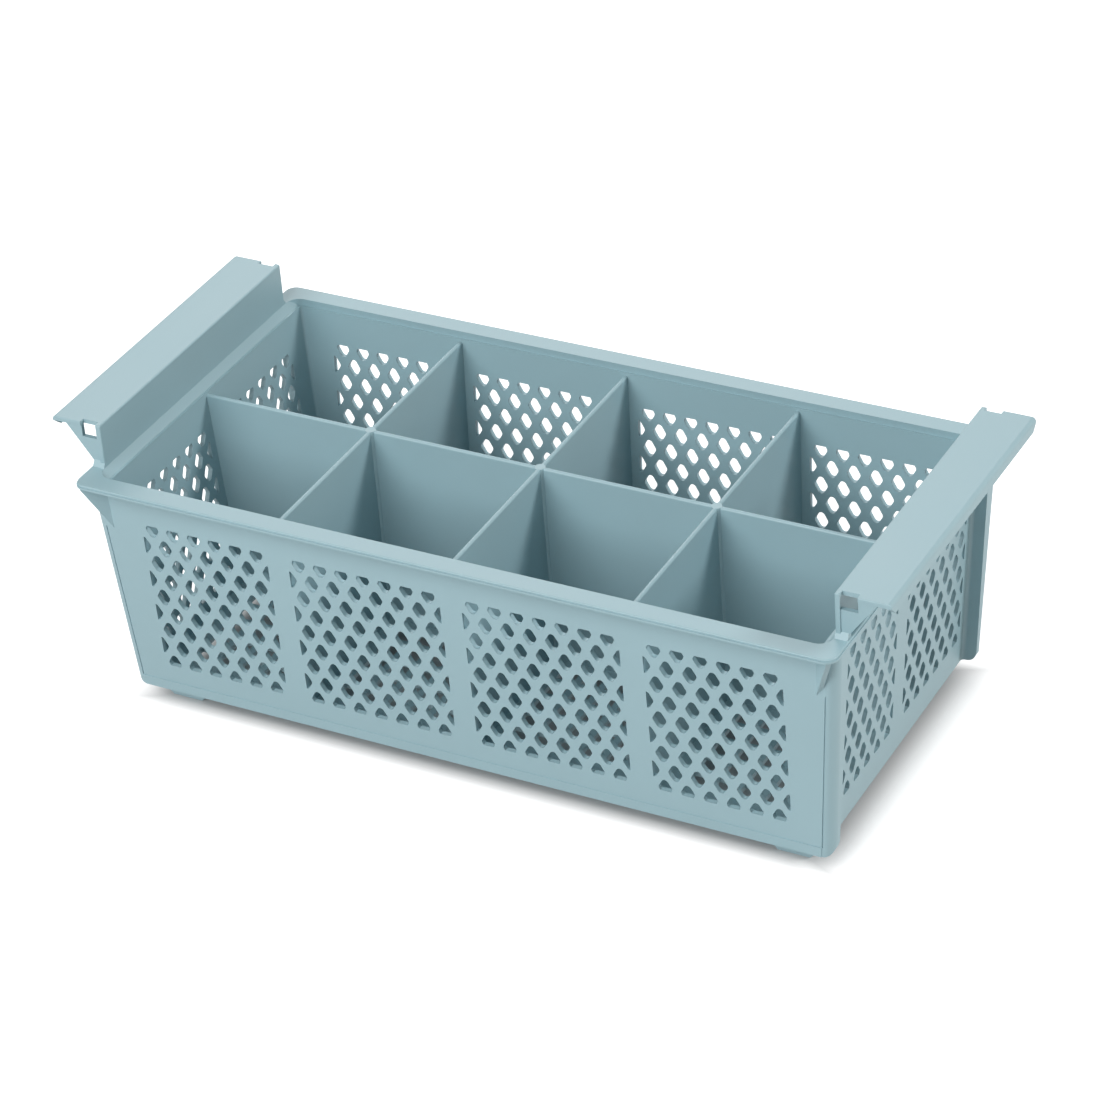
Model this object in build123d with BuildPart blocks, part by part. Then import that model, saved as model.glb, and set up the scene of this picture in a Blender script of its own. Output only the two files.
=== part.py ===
"""Dishwasher cutlery basket, moulded as one piece: a tapered tub with pierced walls, a broad rim,
dividers for eight compartments, four feet and a hollow handle across each end.

Millimetres.  The origin lies under the middle of the basket, on the plane that its feet stand on.
X runs along the length, Y to the back and Z up.
"""
import os
from math import cos, radians, sin, tan

from build123d import *

# Heights above the plane that the feet stand on
wall_bottom = 9.0
floor_bottom = 13.0
floor_thickness = 2.5
divider_top = 123.3
ledge_height = 124.6
rim_top = 128.2
handle_top = 151.0

# Walls of the tub: thickness, half sizes over their lower edge, lean in degrees, and inside corners
wall = 2.5
side_foot = 87.1
side_lean = 2.42
end_foot = 177.8
end_lean = 3.95
inner_corner = 1.6

# Corner posts, which stand out past the end walls, with a seam where the long walls end
post_proud = 7.3
post_depth = 7.4
post_radius = 5.5
post_root = 2.0
post_toe = 5.0
seam_width = 0.6
seam_depth = 0.45

# Skirt of the long walls, which stands a little proud below the seams
skirt_height = 5.4
skirt_proud = 0.3

# Rim, with a lip round the lower half of its edge
rim_thickness = 2.2
rim_lip = 1.1
rim_step = 0.4
rim_edge = 0.7
rim_corner = 6.0
rim_side_overhang = 9.1
rim_end_overhang = 2.2
mouth_wall = 1.4
mouth_corner = 7.0
slope_drop = 4.9

# Webs that stand out from the long walls at an angle and carry the corners of the rim
web_height = 25.0
web_reach = 10.7
web_inset = 10.8
web_turn = 45.0
web_toe = 1.0
web_thickness = 2.4

# Dividers
divider_thickness = 2.35
divider_spacing = 91.5
cross_dividers = 3
crossing_post = 5.2

# Lozenge holes of the walls
hole_width = 7.5
hole_slope = 60.0
hole_corner = 1.9
hole_pitch = 11.43
row_pitch = 9.84
panel_lift = 15.3
panel_drop = 21.5
panel_strip = 11.43
panel_margin = 5.0

# Drain holes of the floor
drain_size = 9.5
drain_pitch = 13.0
drain_margin = 4.0

# Feet
foot_length = 21.0
foot_width = 8.0
foot_chamfer = 2.5
foot_from_end = 15.8
foot_from_side = 8.1

# Handles
handle_setback = 2.2
handle_reach = 26.9
handle_inset = 18.4
handle_wall = 2.5
handle_plate = 2.2
handle_lip = 2.0
lip_height = 6.0
lip_slant = 4.0
handle_round = 2.2
handle_edge = 0.8
plate_edge = 0.6
cheek = 2.2
cheek_setback = 0.6
cheek_inset = 6.3
cheek_foot = 2.1
plinth_height = 3.0
plinth_depth = 2.0
window_width = 8.4
window_height = 8.2
window_depth = 3.0

# What a cut reaches past the face that it opens
clear = 1.0


def end_x(height):
    """Distance of an end wall's outer face from the middle, at a height."""
    return end_foot + (height - wall_bottom) * tan(radians(end_lean))


def side_y(height):
    """Distance of a long wall's outer face from the middle, at a height."""
    return side_foot + (height - wall_bottom) * tan(radians(side_lean))


# Places that follow from the sizes above
floor_top = floor_bottom + floor_thickness
rim_under = rim_top - rim_thickness
rim_x = end_x(rim_under) + post_proud + rim_end_overhang
rim_y = side_y(rim_under) + rim_side_overhang
post_back = side_foot - post_depth
mouth_y = side_y(rim_under) - mouth_wall
handle_in = end_x(rim_under) + handle_setback
handle_out = handle_in + handle_reach
handle_y = rim_y - handle_inset
cheek_face = handle_y - cheek_setback
skirt_top = wall_bottom + skirt_height
panel_bottom = wall_bottom + panel_lift
panel_height = rim_top - panel_drop - panel_bottom
panel_middle = panel_bottom + panel_height / 2
half_rows = int(panel_height / 2 / row_pitch)
cross_places = [(i - (cross_dividers - 1) / 2) * divider_spacing for i in range(cross_dividers)]
foot_x = end_foot - foot_from_end
foot_y = side_foot - foot_from_side - foot_width / 2


def seam_x(height):
    """Distance from the middle of the seam where a post's rounding starts, at a height."""
    return end_x(height) + post_proud - post_radius


def upright_edges(block):
    """Edges of a block that run up it."""
    return block.edges().filter_by(lambda edge: abs(edge.tangent_at(0.5).Z) > 0.5)


def tapered(past_end, past_side, low, high, radius):
    """Block between two heights that leans as the walls do, set out from their outer faces."""
    with BuildPart() as block:
        with BuildSketch(Plane.YZ):
            near, far = side_y(low) + past_side, side_y(high) + past_side
            Polygon((-near, low), (near, low), (far, high), (-far, high), align=None)
        extrude(amount=end_x(high) + past_end, both=True)
        with BuildSketch(Plane.XZ):
            near, far = end_x(low) + past_end, end_x(high) + past_end
            Polygon((-near, low), (near, low), (far, high), (-far, high), align=None)
        extrude(amount=side_y(high) + past_side, both=True, mode=Mode.INTERSECT)
        fillet(upright_edges(block), radius)
    return block.part


def panel_spots(centre, columns):
    """Centres of the holes of one panel, with every other row set over by half a pitch."""
    spots = []
    for row in range(-half_rows, half_rows + 1):
        count = columns + row % 2
        for index in range(count):
            spots.append((centre + (index - (count - 1) / 2) * hole_pitch, row * row_pitch))
    return spots


def pierced(panels):
    """Holes of one wall, from the centre and the columns of each panel, cut square at its edges."""
    with BuildSketch() as pattern:
        for centre, columns in panels:
            with Locations(*panel_spots(centre, columns)):
                add(lozenge.sketch, clean=False)
        with BuildSketch(mode=Mode.INTERSECT):
            for centre, columns in panels:
                with Locations((centre, 0)):
                    Rectangle(columns * hole_pitch, panel_height)
    return pattern.sketch


def panel_between(start, stop):
    """Centre and columns of the panel that starts at one place and fits before another."""
    columns = int((stop - start) / hole_pitch)
    return start + columns * hole_pitch / 2, columns


# One lozenge hole
with BuildSketch() as lozenge:
    reach = hole_width / 2
    rise = reach * tan(radians(hole_slope))
    Polygon((-reach, 0), (0, -rise), (reach, 0), (0, rise), align=None)
    fillet(lozenge.vertices(), hole_corner)

# Hole panels of a long wall and of an end wall, given for one half and mirrored to the other
stops = [place for place in cross_places if place >= 0]
side_panels = []
for place, following in zip(stops, stops[1:]):
    side_panels.append(panel_between(place + panel_strip / 2, following - panel_strip / 2))
side_panels.append(panel_between(stops[-1] + panel_strip / 2, end_x(panel_bottom) - 2 * panel_margin))
end_panels = [panel_between(panel_strip / 2, post_back - panel_margin)]
side_holes = pierced(side_panels + [(-centre, columns) for centre, columns in side_panels])
end_holes = pierced(end_panels + [(-centre, columns) for centre, columns in end_panels])

# Outer faces of the four walls, each seen from outside
lean_cos, lean_sin = cos(radians(side_lean)), sin(radians(side_lean))
side_middle = side_y(panel_middle)
front_face = Plane((0, -side_middle, panel_middle), (1, 0, 0), (0, -lean_cos, -lean_sin))
back_face = Plane((0, side_middle, panel_middle), (-1, 0, 0), (0, lean_cos, -lean_sin))
end_cos, end_sin = cos(radians(end_lean)), sin(radians(end_lean))
end_middle = end_x(panel_middle)
right_face = Plane((end_middle, 0, panel_middle), (0, 1, 0), (end_cos, 0, -end_sin))
left_face = Plane((-end_middle, 0, panel_middle), (0, -1, 0), (-end_cos, 0, -end_sin))

# Tub with its posts, before it is hollowed
with BuildPart() as tub:
    add(tapered(post_proud, 0, wall_bottom, rim_under, post_radius))
    with BuildSketch(Plane.XZ):
        for way in (1, -1):
            past = post_proud + clear
            Polygon(
                (way * end_x(wall_bottom), wall_bottom),
                (way * end_x(rim_under), rim_under),
                (way * (end_x(rim_under) + past), rim_under),
                (way * (end_x(wall_bottom) + past), wall_bottom),
                align=None,
            )
    extrude(amount=post_back, both=True, mode=Mode.SUBTRACT)
    middle_x = end_x((wall_bottom + rim_under) / 2)
    roots = upright_edges(tub).filter_by(lambda edge: abs(abs(edge.center().X) - middle_x) < post_proud / 4)
    fillet(roots, post_root)

    # Toes of the posts, rounded as seen from the side
    toe_x = end_x(wall_bottom) + post_proud
    with BuildSketch(Plane.XZ):
        for way in (1, -1):
            with Locations((way * toe_x, wall_bottom)):
                Rectangle(2 * post_toe, 2 * post_toe)
            with Locations((way * (toe_x - post_toe), wall_bottom + post_toe)):
                Circle(post_toe, mode=Mode.SUBTRACT)
    extrude(amount=rim_y, both=True, mode=Mode.SUBTRACT)

    # Skirt of the long walls, up to a level line
    with BuildSketch(front_face.offset(skirt_proud), back_face.offset(skirt_proud)):
        rows = [(height - panel_middle) / lean_cos for height in (wall_bottom, skirt_top)]
        near, far = seam_x(wall_bottom), seam_x(skirt_top)
        Polygon((-near, rows[0]), (near, rows[0]), (far, rows[1]), (-far, rows[1]), align=None)
    extrude(amount=-wall / 2)

    # Seams between the long walls and the rounding of the posts
    with BuildSketch(front_face.offset(clear), back_face.offset(clear)):
        rows = [(height - panel_middle) / lean_cos for height in (skirt_top, rim_under - web_height)]
        near, far = seam_x(skirt_top), seam_x(rim_under - web_height)
        for way in (1, -1):
            Polygon(
                (way * near, rows[0]),
                (way * (near + seam_width), rows[0]),
                (way * (far + seam_width), rows[1]),
                (way * far, rows[1]),
                align=None,
            )
    extrude(amount=-(clear + seam_depth), mode=Mode.SUBTRACT)

# Webs under the corners of the rim: one is drawn and mirrored to the others
with BuildPart() as webs:
    turn = radians(web_turn)
    root = (rim_x - web_inset, -side_y(rim_under), rim_under)
    with BuildSketch(Plane(root, (cos(turn), -sin(turn), 0), (-sin(turn), -cos(turn), 0))):
        Polygon(
            (-wall, -web_height),
            (web_reach, -web_toe),
            (web_reach, rim_lip / 2),
            (-wall, rim_lip / 2),
            align=None,
        )
    extrude(amount=web_thickness / 2, both=True)
    mirror(about=Plane.YZ)
    mirror(about=Plane.XZ)

# Rim flange: a lip below, and above it the flat with its edge rounded
with BuildPart() as rim:
    with BuildSketch(Plane.XY.offset(rim_under)):
        RectangleRounded(2 * rim_x, 2 * rim_y, rim_corner)
    extrude(amount=rim_lip)
    with BuildSketch(Plane.XY.offset(rim_under)):
        RectangleRounded(2 * (rim_x - rim_step), 2 * (rim_y - rim_step), rim_corner - rim_step)
    extrude(amount=rim_thickness)
    fillet(rim.faces().sort_by(Axis.Z)[-1].edges(), rim_edge)

# Dividers with rounded tops, trimmed to half the thickness of the walls
with BuildPart() as dividers:
    divider_round = divider_thickness / 2
    divider_rise = divider_top - divider_round - floor_bottom
    with BuildSketch(Plane.YZ):
        with Locations((0, floor_bottom + divider_rise / 2)):
            Rectangle(divider_thickness, divider_rise)
        with Locations((0, divider_top - divider_round)):
            Circle(divider_round)
    extrude(amount=rim_x, both=True)
    with BuildSketch(Plane.XZ):
        for place in cross_places:
            with Locations((place, floor_bottom + divider_rise / 2)):
                Rectangle(divider_thickness, divider_rise)
            with Locations((place, divider_top - divider_round)):
                Circle(divider_round)
    extrude(amount=rim_y, both=True)
    with BuildSketch(Plane.XY.offset(floor_bottom)):
        with Locations(*[(place, 0) for place in cross_places]):
            Circle(crossing_post / 2)
    extrude(amount=divider_top - floor_bottom)
    add(tapered(-wall / 2, -wall / 2, floor_bottom, rim_under, inner_corner), mode=Mode.INTERSECT)

# Handle of the right end: inner wall, top plate with a lip, and a cheek near each end
with BuildPart() as handle:
    with BuildSketch(Plane.XZ) as section:
        Polygon(
            (handle_in, rim_under),
            (handle_in + handle_wall, rim_under),
            (handle_in + handle_wall, handle_top - handle_plate),
            (handle_out - handle_lip, handle_top - handle_plate),
            (handle_out - handle_lip, handle_top - lip_height),
            (handle_out, handle_top - lip_height),
            (handle_out, handle_top),
            (handle_in, handle_top),
            align=None,
        )
        fillet(section.vertices().group_by(Axis.Y)[-1].sort_by(Axis.X)[-1], handle_round)
        fillet(section.vertices().group_by(Axis.Y)[-1].sort_by(Axis.X)[0], handle_edge)
    extrude(amount=handle_y, both=True)
    fillet(handle.edges().filter_by(Axis.X).group_by(Axis.Z)[-1], plate_edge)

    # Ends of the lip, cut on a slant
    with BuildSketch(Plane.YZ.offset(handle_out - handle_lip)):
        for way in (1, -1):
            Polygon(
                (way * (handle_y + clear), handle_top - handle_plate),
                (way * handle_y, handle_top - handle_plate),
                (way * (handle_y - lip_slant), handle_top - lip_height),
                (way * (handle_y - lip_slant), handle_top - lip_height - clear),
                (way * (handle_y + clear), handle_top - lip_height - clear),
                align=None,
            )
    extrude(amount=handle_lip + clear, mode=Mode.SUBTRACT)

    # Cheeks, set back from the ends of the plate, and the plinths at their feet
    for way in (1, -1):
        with BuildSketch(Plane.XZ.offset(way * (cheek_face - cheek / 2) - cheek / 2)):
            Polygon(
                (handle_in + handle_wall / 2, rim_under + rim_lip),
                (rim_x - rim_step - rim_edge, rim_under + rim_lip),
                (rim_x - rim_step - rim_edge, rim_top + cheek_foot),
                (handle_out - cheek_inset, handle_top - handle_plate / 2),
                (handle_in + handle_wall / 2, handle_top - handle_plate / 2),
                align=None,
            )
        extrude(amount=cheek)
    with BuildSketch(Plane.YZ.offset(handle_in)):
        for way in (1, -1):
            Polygon(
                (way * (cheek_face - cheek / 2), rim_under + rim_lip),
                (way * (cheek_face + plinth_depth), rim_under + rim_lip),
                (way * (cheek_face + plinth_depth), rim_top),
                (way * cheek_face, rim_top + plinth_height),
                (way * (cheek_face - cheek / 2), rim_top + plinth_height),
                align=None,
            )
    extrude(amount=rim_x - rim_step - rim_edge - handle_in)

    # Windows through the cheeks, which also notch the plate
    with BuildSketch(Plane.XY.offset(handle_top - window_height)):
        for way in (1, -1):
            window_y = handle_y + (clear - window_depth) / 2
            with Locations((handle_in + handle_wall + window_width / 2, way * window_y)):
                Rectangle(window_width, window_depth + clear)
    extrude(amount=window_height + clear, mode=Mode.SUBTRACT)

# Basket
with BuildPart() as basket:
    add(tub.part)
    add(webs.part)
    add(rim.part)

    # Space above the floor, the hollow below it, and the mouth with its ledge
    add(tapered(-wall, -wall, floor_top, ledge_height, inner_corner), mode=Mode.SUBTRACT)
    with BuildSketch(Plane.XY.offset(wall_bottom)):
        Rectangle(2 * (end_foot - wall), 2 * (side_foot - wall))
    extrude(amount=floor_bottom - wall_bottom, mode=Mode.SUBTRACT)
    with BuildSketch(Plane.XY.offset(ledge_height)):
        RectangleRounded(2 * handle_in, 2 * mouth_y, mouth_corner)
    extrude(amount=rim_top - ledge_height, mode=Mode.SUBTRACT)

    # Slopes from the end walls out to the handles
    slope_foot = rim_top - slope_drop
    with BuildSketch(Plane.XZ):
        for way in (1, -1):
            Polygon(
                (way * (end_x(slope_foot) - wall), slope_foot),
                (way * handle_in, rim_top),
                (way * (handle_in + wall), rim_under),
                (way * end_x(slope_foot - wall), slope_foot - wall),
                align=None,
            )
    extrude(amount=mouth_y + mouth_wall / 2, both=True)

    add(dividers.part)
    add(handle.part)
    mirror(handle.part, about=Plane.YZ)

    # Feet under the floor
    for way in (1, -1):
        with BuildSketch(Plane.XZ.offset(way * foot_y - foot_width / 2)):
            for place in (foot_x, -foot_x):
                half = foot_length / 2
                Polygon(
                    (place - half, floor_bottom + floor_thickness / 2),
                    (place - half, foot_chamfer),
                    (place - half + foot_chamfer, 0),
                    (place + half - foot_chamfer, 0),
                    (place + half, foot_chamfer),
                    (place + half, floor_bottom + floor_thickness / 2),
                    align=None,
                )
        extrude(amount=foot_width)

    # Drain holes, between the dividers, the end walls and the feet
    drain_bars = drain_pitch - drain_size
    lines = cross_places + [end_x(floor_bottom) - wall]
    lines = [-lines[-1]] + lines
    drain_far = foot_y - foot_width / 2 - drain_bars / 2
    drain_near = divider_thickness / 2 + drain_margin
    drain_rows = int((drain_far - drain_near + drain_bars) / drain_pitch)
    with BuildSketch(Plane.XY.offset(floor_bottom)):
        for start, stop in zip(lines, lines[1:]):
            columns = int((stop - start - divider_thickness - 2 * drain_margin + drain_bars) / drain_pitch)
            for way in (1, -1):
                with Locations(((start + stop) / 2, way * (drain_near + drain_far) / 2)):
                    with GridLocations(drain_pitch, drain_pitch, columns, drain_rows):
                        Rectangle(drain_size, drain_size)
    extrude(amount=floor_thickness, mode=Mode.SUBTRACT)

    # Lozenge holes through the four walls
    with BuildSketch(front_face.offset(clear), back_face.offset(clear)):
        add(side_holes)
    with BuildSketch(right_face.offset(clear), left_face.offset(clear)):
        add(end_holes)
    extrude(amount=-(wall + 2 * clear), clean=False, mode=Mode.SUBTRACT)

os.makedirs("parts", exist_ok=True)
basket.part.label = "basket"
export_step(basket.part, "parts/basket.step", write_pcurves=False)
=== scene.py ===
"""Finish, stage and camera for the dishwasher cutlery basket.

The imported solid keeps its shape. This file shades it as satin moulded plastic and sets a pale
studio around it. Metres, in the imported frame: X along the length, Y to the back, Z up.
"""
from math import cos, radians, sin

import bpy
from bpy.props import FloatProperty, FloatVectorProperty, PointerProperty
from mathutils import Matrix, Vector


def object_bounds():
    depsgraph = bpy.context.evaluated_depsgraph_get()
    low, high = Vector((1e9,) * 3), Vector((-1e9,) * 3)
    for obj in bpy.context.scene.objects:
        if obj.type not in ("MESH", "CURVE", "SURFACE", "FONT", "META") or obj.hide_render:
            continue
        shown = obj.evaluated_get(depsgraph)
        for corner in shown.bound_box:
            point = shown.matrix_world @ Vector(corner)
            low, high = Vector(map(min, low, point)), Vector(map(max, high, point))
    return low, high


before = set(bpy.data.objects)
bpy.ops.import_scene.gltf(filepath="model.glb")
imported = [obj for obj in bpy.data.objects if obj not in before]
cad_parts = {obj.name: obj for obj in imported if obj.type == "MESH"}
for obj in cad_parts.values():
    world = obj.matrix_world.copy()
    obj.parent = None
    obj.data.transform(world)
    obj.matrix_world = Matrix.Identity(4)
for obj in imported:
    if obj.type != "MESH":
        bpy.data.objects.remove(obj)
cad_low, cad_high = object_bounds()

bl_info = {
    "name": "Cutlery Basket",
    "version": (1, 0, 0),
    "blender": (4, 5, 0),
    "location": "3D View > Sidebar > Basket",
    "description": "Moulded plastic finish and studio stage for a dishwasher cutlery basket",
    "category": "Object",
}

# Plastic: how far the roughness spreads each way, the detail of its two noises, and the gap that is welded
GLOSS_SPREAD = 0.06
CLOUD_DETAIL = 3.0
GRAIN_DETAIL = 2.0
WELD_GAP = 1e-6

# Floor: its width, how far it lies under the feet, and where it turns white, as shares of half the basket
FLOOR_WIDTH = 8.0
FLOOR_GAP = 0.0002
BRIGHTEN_FROM = 0.78
BRIGHTEN_TO = 0.92

# Lamps: the point that all of them face, then the place and the width of each
LAMP_AIM = (0.0, 0.0, 0.07)
KEY_PLACE = (-0.39, -1.85, 1.55)
KEY_WIDTH = 1.8
SIDE_PLACE = (1.91, 0.81, 1.27)
SIDE_WIDTH = 0.45
BACK_PLACE = (-0.84, 1.45, 1.16)
BACK_WIDTH = 1.2
FILL_PLACE = (2.36, 0.0, 0.49)
FILL_WIDTH = 0.8

# Camera: the width of its sensor in millimetres, and the nearest and furthest depth it sees in metres
SENSOR_WIDTH = 36.0
NEAREST = 0.01
FURTHEST = 100.0


class MouldingSettings(bpy.types.PropertyGroup):
    """Finish of the moulded plastic."""

    colour: FloatVectorProperty(
        name="Plastic colour",
        description="Colour of the plastic under plain light",
        subtype="COLOR",
        min=0.0,
        max=1.0,
        default=(0.322, 0.478, 0.525),
    )
    cloud: FloatProperty(
        name="Cloudiness",
        description="How far the colour drifts lighter and darker over the moulding",
        subtype="FACTOR",
        min=0.0,
        max=1.0,
        default=0.04,
    )
    cloud_size: FloatProperty(
        name="Cloud size",
        description="Size of the drifts in the colour",
        unit="LENGTH",
        default=0.06,
    )
    roughness: FloatProperty(
        name="Roughness",
        description="Middle roughness of the satin surface",
        subtype="FACTOR",
        min=0.0,
        max=1.0,
        default=0.42,
    )
    gloss: FloatProperty(
        name="Gloss",
        description="Strength of the mirror part of the surface",
        subtype="FACTOR",
        min=0.0,
        max=1.0,
        default=0.6,
    )
    grain_size: FloatProperty(
        name="Grain size",
        description="Size of the fine grain that the mould leaves",
        unit="LENGTH",
        default=0.0009,
    )
    grain_depth: FloatProperty(
        name="Grain depth",
        description="Height of the fine grain",
        unit="LENGTH",
        default=0.000012,
    )
    crease: FloatProperty(
        name="Crease angle",
        description="Faces that meet at less than this angle shade as one rounded surface",
        subtype="ANGLE",
        default=radians(32.0),
    )


class StageSettings(bpy.types.PropertyGroup):
    """Floor, light and camera of the studio."""

    floor_colour: FloatVectorProperty(
        name="Floor colour",
        description="Colour of the pale floor",
        subtype="COLOR",
        min=0.0,
        max=1.0,
        default=(0.6, 0.6, 0.6),
    )
    floor_lift: FloatProperty(
        name="Floor lift",
        description="Light added to the floor for the camera alone, so that it reads as white",
        min=0.0,
        default=0.8,
    )
    world_level: FloatProperty(
        name="Surround level",
        description="Strength of the even light from all round",
        min=0.0,
        default=0.2,
    )
    mirror_lift: FloatProperty(
        name="Mirrored floor",
        description="Light added to the floor where the plastic mirrors it",
        min=0.0,
        default=0.5,
    )
    key_power: FloatProperty(
        name="Key power",
        description="Power of the broad lamp at the front",
        unit="POWER",
        default=50.5,
    )
    fill_power: FloatProperty(
        name="Fill power",
        description="Power of the low warm lamp at the right",
        unit="POWER",
        default=6.0,
    )
    fill_colour: FloatVectorProperty(
        name="Fill colour",
        description="Colour of the low lamp at the right",
        subtype="COLOR",
        min=0.0,
        max=1.0,
        default=(1.0, 0.86, 0.76),
    )
    side_power: FloatProperty(
        name="Side power",
        description="Power of the smaller lamp high at the right, a little behind",
        unit="POWER",
        default=25.0,
    )
    back_power: FloatProperty(
        name="Back power",
        description="Power of the broad lamp behind, which the flat tops mirror",
        unit="POWER",
        default=9.0,
    )
    target: FloatVectorProperty(
        name="Target",
        description="Point that the camera looks at",
        subtype="TRANSLATION",
        unit="LENGTH",
        default=(0.00177, 0.0, 0.07724),
    )
    azimuth: FloatProperty(
        name="Azimuth",
        description="Turn of the camera round the basket, from its front towards its right end",
        subtype="ANGLE",
        default=radians(30.05),
    )
    elevation: FloatProperty(
        name="Elevation",
        description="Height of the camera above the horizon",
        subtype="ANGLE",
        default=radians(33.03),
    )
    roll: FloatProperty(
        name="Roll",
        description="Turn of the camera about its own line of sight",
        subtype="ANGLE",
        default=radians(-4.58),
    )
    distance: FloatProperty(
        name="Distance",
        description="Distance of the camera from its target",
        unit="LENGTH",
        default=1.8783,
    )
    lens: FloatProperty(
        name="Lens",
        description="Focal length on a sensor 36 mm wide",
        unit="CAMERA",
        default=129.83,
    )


def new_material(name):
    """Node material with only its output node, returned with its nodes and links."""
    material = bpy.data.materials.new(name)
    material.use_nodes = True
    nodes, links = material.node_tree.nodes, material.node_tree.links
    nodes.clear()
    output = nodes.new("ShaderNodeOutputMaterial")
    return material, nodes, links, output


def math_node(nodes, links, operation, *values):
    """Result of a math node whose inputs are sockets or plain numbers."""
    node = nodes.new("ShaderNodeMath")
    node.operation = operation
    for slot, value in zip(node.inputs, values):
        if isinstance(value, bpy.types.NodeSocket):
            links.new(value, slot)
        else:
            slot.default_value = value
    return node.outputs["Value"]


def moulded_plastic(settings):
    """Satin plastic: a colour and a gloss that drift slowly, and a fine even grain in height."""
    material, nodes, links, output = new_material("moulded_plastic")
    shader = nodes.new("ShaderNodeBsdfPrincipled")
    links.new(shader.outputs["BSDF"], output.inputs["Surface"])
    shader.inputs["Specular IOR Level"].default_value = settings.gloss
    place = nodes.new("ShaderNodeTexCoord")

    clouds = nodes.new("ShaderNodeTexNoise")
    clouds.inputs["Scale"].default_value = 1.0 / settings.cloud_size
    clouds.inputs["Detail"].default_value = CLOUD_DETAIL
    links.new(place.outputs["Object"], clouds.inputs["Vector"])
    drift = nodes.new("ShaderNodeMix")
    drift.data_type = "RGBA"
    base = Vector(settings.colour)
    drift.inputs["A"].default_value = (*(base * (1.0 - settings.cloud)), 1.0)
    drift.inputs["B"].default_value = (*(base * (1.0 + settings.cloud)), 1.0)
    links.new(clouds.outputs["Fac"], drift.inputs["Factor"])
    links.new(drift.outputs["Result"], shader.inputs["Base Color"])

    grain = nodes.new("ShaderNodeTexNoise")
    grain.inputs["Scale"].default_value = 1.0 / settings.grain_size
    grain.inputs["Detail"].default_value = GRAIN_DETAIL
    links.new(place.outputs["Object"], grain.inputs["Vector"])
    gloss = nodes.new("ShaderNodeMapRange")
    gloss.inputs["To Min"].default_value = settings.roughness - GLOSS_SPREAD
    gloss.inputs["To Max"].default_value = settings.roughness + GLOSS_SPREAD
    links.new(clouds.outputs["Fac"], gloss.inputs["Value"])
    links.new(gloss.outputs["Result"], shader.inputs["Roughness"])
    bump = nodes.new("ShaderNodeBump")
    bump.inputs["Distance"].default_value = settings.grain_depth
    links.new(grain.outputs["Fac"], bump.inputs["Height"])
    links.new(bump.outputs["Normal"], shader.inputs["Normal"])
    return material


def beside_basket(nodes, links):
    """Value that is 0 on the floor under the basket and rises softly to 1 around it."""
    place = nodes.new("ShaderNodeTexCoord")
    parts = nodes.new("ShaderNodeSeparateXYZ")
    links.new(place.outputs["Object"], parts.inputs["Vector"])
    shares = []
    for axis, half in zip("XY", cad_high):
        distance = math_node(nodes, links, "ABSOLUTE", parts.outputs[axis])
        shares.append(math_node(nodes, links, "DIVIDE", distance, half))
    soft = nodes.new("ShaderNodeMapRange")
    soft.interpolation_type = "SMOOTHSTEP"
    soft.inputs["From Min"].default_value = BRIGHTEN_FROM
    soft.inputs["From Max"].default_value = BRIGHTEN_TO
    links.new(math_node(nodes, links, "MAXIMUM", *shares), soft.inputs["Value"])
    return soft.outputs["Result"]


def white_floor(settings):
    """Pale matt floor that takes the basket's shadow and reads as white to the camera around it."""
    material, nodes, links, output = new_material("white_floor")
    matt = nodes.new("ShaderNodeBsdfDiffuse")
    matt.inputs["Color"].default_value = (*settings.floor_colour, 1.0)
    lift = nodes.new("ShaderNodeEmission")
    rays = nodes.new("ShaderNodeLightPath")
    mirrored = math_node(nodes, links, "MULTIPLY", rays.outputs["Is Glossy Ray"], settings.mirror_lift)
    seen = math_node(nodes, links, "MULTIPLY", rays.outputs["Is Camera Ray"], settings.floor_lift)
    level = math_node(nodes, links, "MULTIPLY_ADD", seen, beside_basket(nodes, links), mirrored)
    links.new(level, lift.inputs["Strength"])
    both = nodes.new("ShaderNodeAddShader")
    links.new(matt.outputs["BSDF"], both.inputs[0])
    links.new(lift.outputs["Emission"], both.inputs[1])
    links.new(both.outputs["Shader"], output.inputs["Surface"])
    return material


def white_surround(settings):
    """World that is white where it is seen, directly or mirrored, and softer as a light."""
    world = bpy.data.worlds.new("white_surround")
    world.use_nodes = True
    nodes, links = world.node_tree.nodes, world.node_tree.links
    nodes.clear()
    output = nodes.new("ShaderNodeOutputWorld")
    surface = nodes.new("ShaderNodeBackground")
    rays = nodes.new("ShaderNodeLightPath")
    seen = rays.outputs["Is Camera Ray"]
    for kind in ("Is Glossy Ray", "Is Transmission Ray"):
        seen = math_node(nodes, links, "MAXIMUM", seen, rays.outputs[kind])
    level = nodes.new("ShaderNodeMapRange")
    level.inputs["To Min"].default_value = settings.world_level
    level.inputs["To Max"].default_value = 1.0
    links.new(seen, level.inputs["Value"])
    links.new(level.outputs["Result"], surface.inputs["Strength"])
    links.new(surface.outputs["Background"], output.inputs["Surface"])
    return world


def soft_lamp(name, place, aim, width, power, colour=(1.0, 1.0, 1.0)):
    """Square area lamp at a place, turned to face a point, and linked into the scene."""
    lamp = bpy.data.lights.new(name, "AREA")
    lamp.size = width
    lamp.energy = power
    lamp.color = colour
    holder = bpy.data.objects.new(name, lamp)
    holder.location = place
    holder.rotation_euler = (Vector(aim) - Vector(place)).to_track_quat("-Z", "Y").to_euler()
    bpy.context.scene.collection.objects.link(holder)
    return holder


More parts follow.
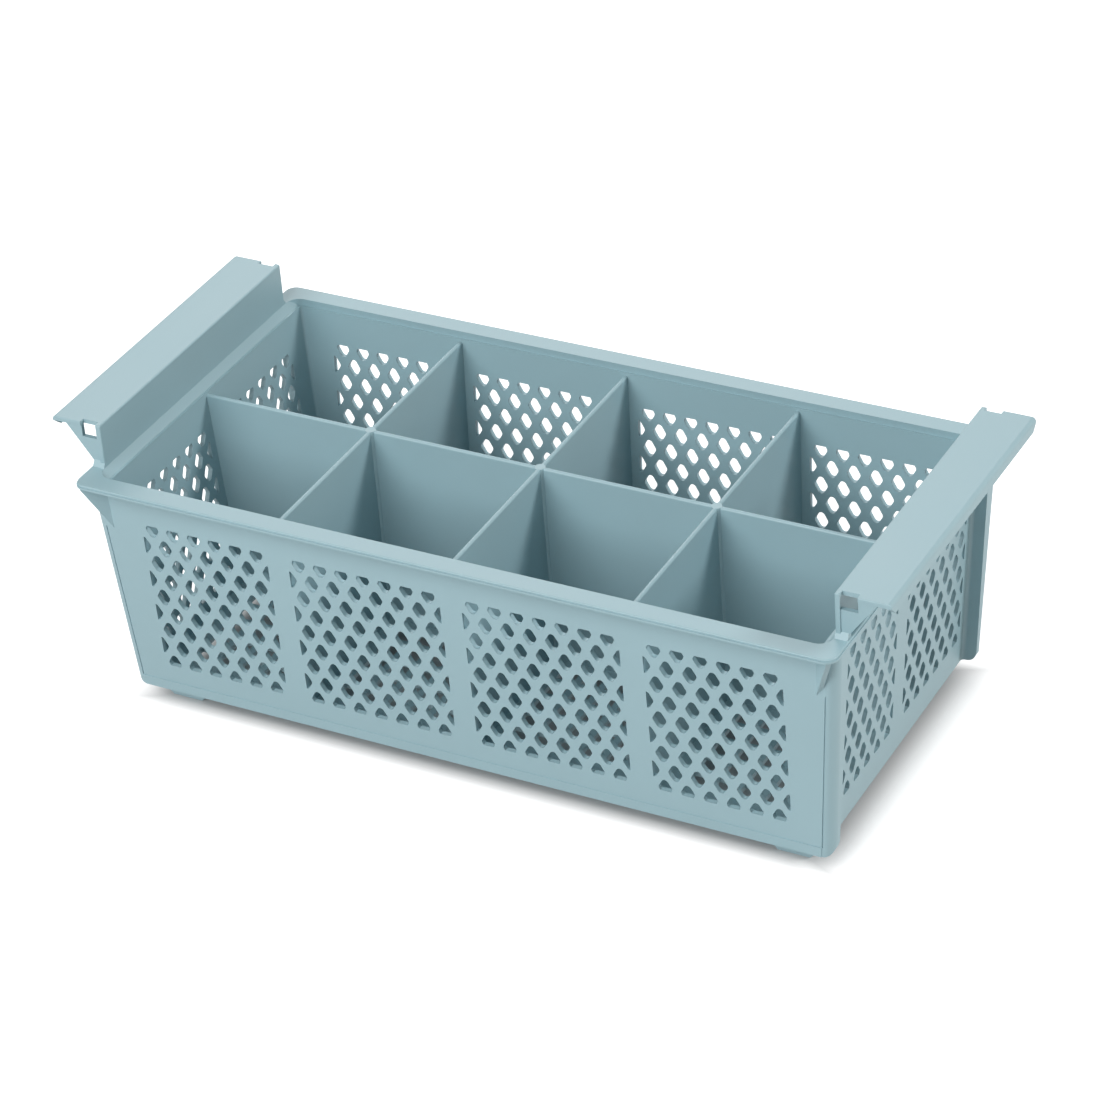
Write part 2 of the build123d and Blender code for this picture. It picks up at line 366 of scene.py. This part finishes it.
def floor_plane(width):
    """Flat square a hair under the basket's feet."""
    half = width / 2.0
    under = -FLOOR_GAP
    corners = [(-half, -half, under), (half, -half, under), (half, half, under), (-half, half, under)]
    mesh = bpy.data.meshes.new("floor")
    mesh.from_pydata(corners, [], [(0, 1, 2, 3)])
    plane = bpy.data.objects.new("floor", mesh)
    bpy.context.scene.collection.objects.link(plane)
    return plane


def photo_camera(settings):
    """Camera at the photograph's angle: turned, raised and rolled about its line of sight."""
    turn, rise, roll = settings.azimuth, settings.elevation, settings.roll
    back = Vector((sin(turn) * cos(rise), -cos(turn) * cos(rise), sin(rise)))
    level = Vector((cos(turn), sin(turn), 0.0))
    upright = back.cross(level)
    right = level * cos(roll) + upright * sin(roll)
    up = upright * cos(roll) - level * sin(roll)
    data = bpy.data.cameras.new("photo_camera")
    data.lens = settings.lens
    data.sensor_width = SENSOR_WIDTH
    data.clip_start = NEAREST
    data.clip_end = FURTHEST
    camera = bpy.data.objects.new("photo_camera", data)
    axes = Matrix((right, up, back)).transposed().to_4x4()
    place = Vector(settings.target) + back * settings.distance
    camera.matrix_world = Matrix.Translation(place) @ axes
    bpy.context.scene.collection.objects.link(camera)
    return camera


class BASKET_OT_moulding(bpy.types.Operator):
    """Shade the moulded basket as satin plastic with soft rounded edges"""

    bl_idname = "basket.moulding"
    bl_label = "Finish the Moulding"
    bl_options = {"REGISTER", "UNDO"}

    def execute(self, context):
        settings = context.scene.basket_moulding
        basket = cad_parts["basket"]
        basket.data.materials.clear()
        basket.data.materials.append(moulded_plastic(settings))
        basket.data.shade_smooth()
        weld = basket.modifiers.new("weld", "WELD")
        weld.merge_threshold = WELD_GAP
        split = basket.modifiers.new("crease", "EDGE_SPLIT")
        split.split_angle = settings.crease
        even = basket.modifiers.new("even_normals", "WEIGHTED_NORMAL")
        even.mode = "FACE_AREA"
        return {"FINISHED"}


class BASKET_OT_stage(bpy.types.Operator):
    """Set the floor, the surround, the lamps and the camera"""

    bl_idname = "basket.stage"
    bl_label = "Set the Stage"
    bl_options = {"REGISTER", "UNDO"}

    def execute(self, context):
        settings = context.scene.basket_stage
        scene = context.scene
        floor = floor_plane(FLOOR_WIDTH)
        floor.data.materials.append(white_floor(settings))
        scene.world = white_surround(settings)
        soft_lamp("key", KEY_PLACE, LAMP_AIM, KEY_WIDTH, settings.key_power)
        soft_lamp("side", SIDE_PLACE, LAMP_AIM, SIDE_WIDTH, settings.side_power)
        soft_lamp("back", BACK_PLACE, LAMP_AIM, BACK_WIDTH, settings.back_power)
        soft_lamp("fill", FILL_PLACE, LAMP_AIM, FILL_WIDTH, settings.fill_power, settings.fill_colour)
        scene.camera = photo_camera(settings)
        scene.view_settings.view_transform = "Standard"
        return {"FINISHED"}


class BASKET_PT_panel(bpy.types.Panel):
    """Settings and steps of the cutlery basket"""

    bl_idname = "BASKET_PT_panel"
    bl_label = "Cutlery Basket"
    bl_space_type = "VIEW_3D"
    bl_region_type = "UI"
    bl_category = "Basket"

    def draw(self, context):
        layout = self.layout
        layout.use_property_split = True
        for settings, step in (
            (context.scene.basket_moulding, BASKET_OT_moulding),
            (context.scene.basket_stage, BASKET_OT_stage),
        ):
            box = layout.box()
            for name in settings.__annotations__:
                box.prop(settings, name)
            box.operator(step.bl_idname)


CLASSES = (
    MouldingSettings,
    StageSettings,
    BASKET_OT_moulding,
    BASKET_OT_stage,
    BASKET_PT_panel,
)


def register():
    for cls in CLASSES:
        bpy.utils.register_class(cls)
    bpy.types.Scene.basket_moulding = PointerProperty(type=MouldingSettings)
    bpy.types.Scene.basket_stage = PointerProperty(type=StageSettings)


def unregister():
    del bpy.types.Scene.basket_stage
    del bpy.types.Scene.basket_moulding
    for cls in reversed(CLASSES):
        bpy.utils.unregister_class(cls)


def main():
    """Register the settings and the steps, then run each step in order."""
    register()
    bpy.ops.basket.moulding()
    bpy.ops.basket.stage()


if __name__ == "__main__":
    main()
